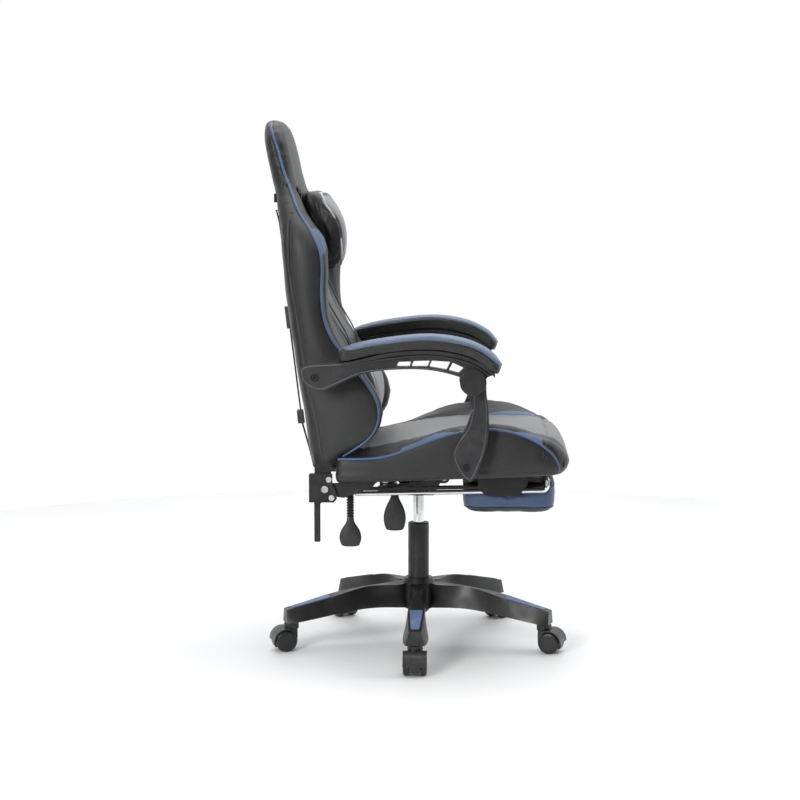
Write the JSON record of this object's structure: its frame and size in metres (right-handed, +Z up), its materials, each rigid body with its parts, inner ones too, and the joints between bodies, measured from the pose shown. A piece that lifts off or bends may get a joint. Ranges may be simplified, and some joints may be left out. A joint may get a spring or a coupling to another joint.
{
  "type": "gaming chair",
  "caption": "Reclining racing-style gaming chair on a caster base, with gas lift, linked armrests, pillow, lumbar cushion and a pull-out footrest",
  "frame": {"origin": "on the floor, under the gas lift", "axes": "+Z up; the sitter faces -Y; the sitter's right is -X"},
  "size_m": [0.6975, 0.7111, 1.252],
  "materials": {
    "base_plastic": "fine moulded grain",
    "insert_plastic": "mottled blue moulding",
    "chrome_steel": "polished",
    "black_metal": "black powder coat",
    "plain_steel": "bare steel",
    "black_plastic": "fine moulded grain",
    "plywood": "bare plywood",
    "cushion_cover": "coated synthetic leather over foam, with blue and grey panels",
    "pad_cover": "mottled coated cover over foam",
    "elastic_webbing": "black elastic webbing"
  },
  "bodies": {
    "base": {"star_base": "base_plastic", "base_inserts": "insert_plastic", "caster_stems": "plain_steel", "lift_outer_tube": "black_metal", "lift_bushing": "black_plastic", "lift_bearing": "plain_steel"},
    "caster_1": {"caster_1_housing": "black_plastic"},
    "caster_1_wheel_set": {"caster_1_axle": "plain_steel", "caster_1_wheels": "black_plastic"},
    "caster_2": {"caster_2_housing": "black_plastic"},
    "caster_2_wheel_set": {"caster_2_axle": "plain_steel", "caster_2_wheels": "black_plastic"},
    "caster_3": {"caster_3_housing": "black_plastic"},
    "caster_3_wheel_set": {"caster_3_axle": "plain_steel", "caster_3_wheels": "black_plastic"},
    "caster_4": {"caster_4_housing": "black_plastic"},
    "caster_4_wheel_set": {"caster_4_axle": "plain_steel", "caster_4_wheels": "black_plastic"},
    "caster_5": {"caster_5_housing": "black_plastic"},
    "caster_5_wheel_set": {"caster_5_axle": "plain_steel", "caster_5_wheels": "black_plastic"},
    "rod": {"lift_rod": "plain_steel"},
    "column": {"lift_cylinder": "chrome_steel", "mechanism_housing": "black_metal", "tilt_spring": "plain_steel"},
    "height_lever": {"height_lever_rod": "black_metal", "height_lever_paddle": "black_plastic"},
    "seat": {"mechanism_frame": "black_metal", "tilt_pin": "plain_steel", "seat_board": "plywood", "seat_cushion": "cushion_cover", "seat_bolts": "plain_steel", "seat_brackets": "black_metal", "recliner_pins": "plain_steel", "footrest_guides": "black_metal", "arm_front_bolts": "black_metal"},
    "tilt_lever": {"tilt_lever_rod": "black_metal", "tilt_lever_sleeve": "black_plastic", "tilt_lever_paddle": "black_plastic"},
    "recline_lever": {"recline_lever": "black_metal"},
    "back": {"back_frame": "black_metal", "back_cushion": "cushion_cover", "back_brackets": "black_metal", "recliner_bolts": "chrome_steel", "head_pillow": "cushion_cover", "elastic_straps": "elastic_webbing", "strap_buckles": "black_plastic", "arm_rear_bolts": "black_metal"},
    "lumbar": {"lumbar_cushion": "cushion_cover"},
    "arm_left": {"arm_left": "black_plastic", "arm_pad_left": "pad_cover", "arm_disc_left": "black_plastic"},
    "arm_right": {"arm_right": "black_plastic", "arm_pad_right": "pad_cover", "arm_disc_right": "black_plastic"},
    "post_left": {"arm_post_left": "black_plastic"},
    "post_right": {"arm_post_right": "black_plastic"},
    "footrest_slide": {"footrest_rails": "chrome_steel"},
    "footrest": {"footrest_pad": "cushion_cover", "footrest_hinge": "black_metal"}
  },
  "joints": [
    {"name": "caster_1_swivel", "type": "hinge", "parent": "base", "child": "caster_1", "pos_m": [-0.313, 0, 0.064], "axis": [0, 0, 1], "continuous": true},
    {"name": "caster_1_roll", "type": "hinge", "parent": "caster_1", "child": "caster_1_wheel_set", "pos_m": [-0.33, 0, 0.025], "axis": [0, -1, 0], "continuous": true},
    {"name": "caster_2_swivel", "type": "hinge", "parent": "base", "child": "caster_2", "pos_m": [-0.09672, -0.29768, 0.064], "axis": [0, 0, 1], "continuous": true},
    {"name": "caster_2_roll", "type": "hinge", "parent": "caster_2", "child": "caster_2_wheel_set", "pos_m": [-0.10198, -0.31385, 0.025], "axis": [0.9511, -0.309, 0], "continuous": true},
    {"name": "caster_3_swivel", "type": "hinge", "parent": "base", "child": "caster_3", "pos_m": [0.25322, -0.18398, 0.064], "axis": [0, 0, 1], "continuous": true},
    {"name": "caster_3_roll", "type": "hinge", "parent": "caster_3", "child": "caster_3_wheel_set", "pos_m": [0.26698, -0.19397, 0.025], "axis": [0.5878, 0.809, 0], "continuous": true},
    {"name": "caster_4_swivel", "type": "hinge", "parent": "base", "child": "caster_4", "pos_m": [0.25322, 0.18398, 0.064], "axis": [0, 0, 1], "continuous": true},
    {"name": "caster_4_roll", "type": "hinge", "parent": "caster_4", "child": "caster_4_wheel_set", "pos_m": [0.26698, 0.19397, 0.025], "axis": [-0.5878, 0.809, 0], "continuous": true},
    {"name": "caster_5_swivel", "type": "hinge", "parent": "base", "child": "caster_5", "pos_m": [-0.09672, 0.29768, 0.064], "axis": [0, 0, 1], "continuous": true},
    {"name": "caster_5_roll", "type": "hinge", "parent": "caster_5", "child": "caster_5_wheel_set", "pos_m": [-0.10198, 0.31385, 0.025], "axis": [-0.9511, -0.309, 0], "continuous": true},
    {"name": "seat_swivel", "type": "hinge", "parent": "base", "child": "rod", "pos_m": [0, 0, 0.08], "axis": [0, 0, 1], "continuous": true},
    {"name": "seat_height", "type": "slide", "parent": "rod", "child": "column", "axis": [0, 0, 1], "range_m": [-0.06, 0.038]},
    {"name": "height_lever_lift", "type": "hinge", "parent": "column", "child": "height_lever", "pos_m": [-0.046, 0.053, 0.376], "axis": [0, 1, 0], "range_deg": [0, 6], "stiffness_Nm_per_rad": 1.5, "springref_deg": -5.73},
    {"name": "seat_tilt", "type": "hinge", "parent": "column", "child": "seat", "pos_m": [0, -0.062, 0.404], "axis": [-1, 0, 0], "range_deg": [0, 10], "stiffness_Nm_per_rad": 180, "springref_deg": -14.32, "deforming": ["tilt_spring"]},
    {"name": "tilt_lever_pull", "type": "slide", "parent": "seat", "child": "tilt_lever", "axis": [-1, 0, 0], "range_m": [0, 0.008]},
    {"name": "recline_lever_pull", "type": "hinge", "parent": "seat", "child": "recline_lever", "pos_m": [0, 0.2075, 0.4055], "axis": [1, 0, 0], "range_deg": [0, 25], "stiffness_Nm_per_rad": 1, "springref_deg": -11.46},
    {"name": "back_recline", "type": "hinge", "parent": "seat", "child": "back", "pos_m": [0, 0.2075, 0.4055], "axis": [-1, 0, 0], "range_deg": [0, 40]},
    {"name": "lumbar_adjust", "type": "slide", "parent": "back", "child": "lumbar", "axis": [0, 0, 1], "range_m": [-0.03, 0.03]},
    {"name": "arm_left_pivot", "type": "hinge", "parent": "back", "child": "arm_left", "pos_m": [0.299, 0.2215, 0.669], "axis": [-1, 0, 0], "range_deg": [-39.5, 0]},
    {"name": "post_left_pivot", "type": "hinge", "parent": "seat", "child": "post_left", "pos_m": [0.282, -0.114, 0.4655], "axis": [-1, 0, 0], "range_deg": [0, 54.5]},
    {"name": "arm_right_pivot", "type": "hinge", "parent": "back", "child": "arm_right", "pos_m": [-0.299, 0.2215, 0.669], "axis": [-1, 0, 0], "range_deg": [-39.5, 0]},
    {"name": "post_right_pivot", "type": "hinge", "parent": "seat", "child": "post_right", "pos_m": [-0.282, -0.114, 0.4655], "axis": [-1, 0, 0], "range_deg": [0, 54.5]},
    {"name": "footrest_pull", "type": "slide", "parent": "seat", "child": "footrest_slide", "axis": [0, -0.9998, 0.022], "range_m": [0, 0.24]},
    {"name": "footrest_flip", "type": "hinge", "parent": "footrest_slide", "child": "footrest", "pos_m": [0, -0.3, 0.4155], "axis": [-1, 0, 0], "range_deg": [0, 180.5]}
  ],
  "couplings": [
    {"joint": "arm_left_pivot", "follows": "back_recline", "ratio": -0.97313},
    {"joint": "post_left_pivot", "follows": "back_recline", "ratio": 1.3474},
    {"joint": "arm_right_pivot", "follows": "back_recline", "ratio": -0.97313},
    {"joint": "post_right_pivot", "follows": "back_recline", "ratio": 1.3474},
    {"joint": "footrest_flip", "follows": "footrest_pull", "rad_per_m": 13.09}
  ]
}
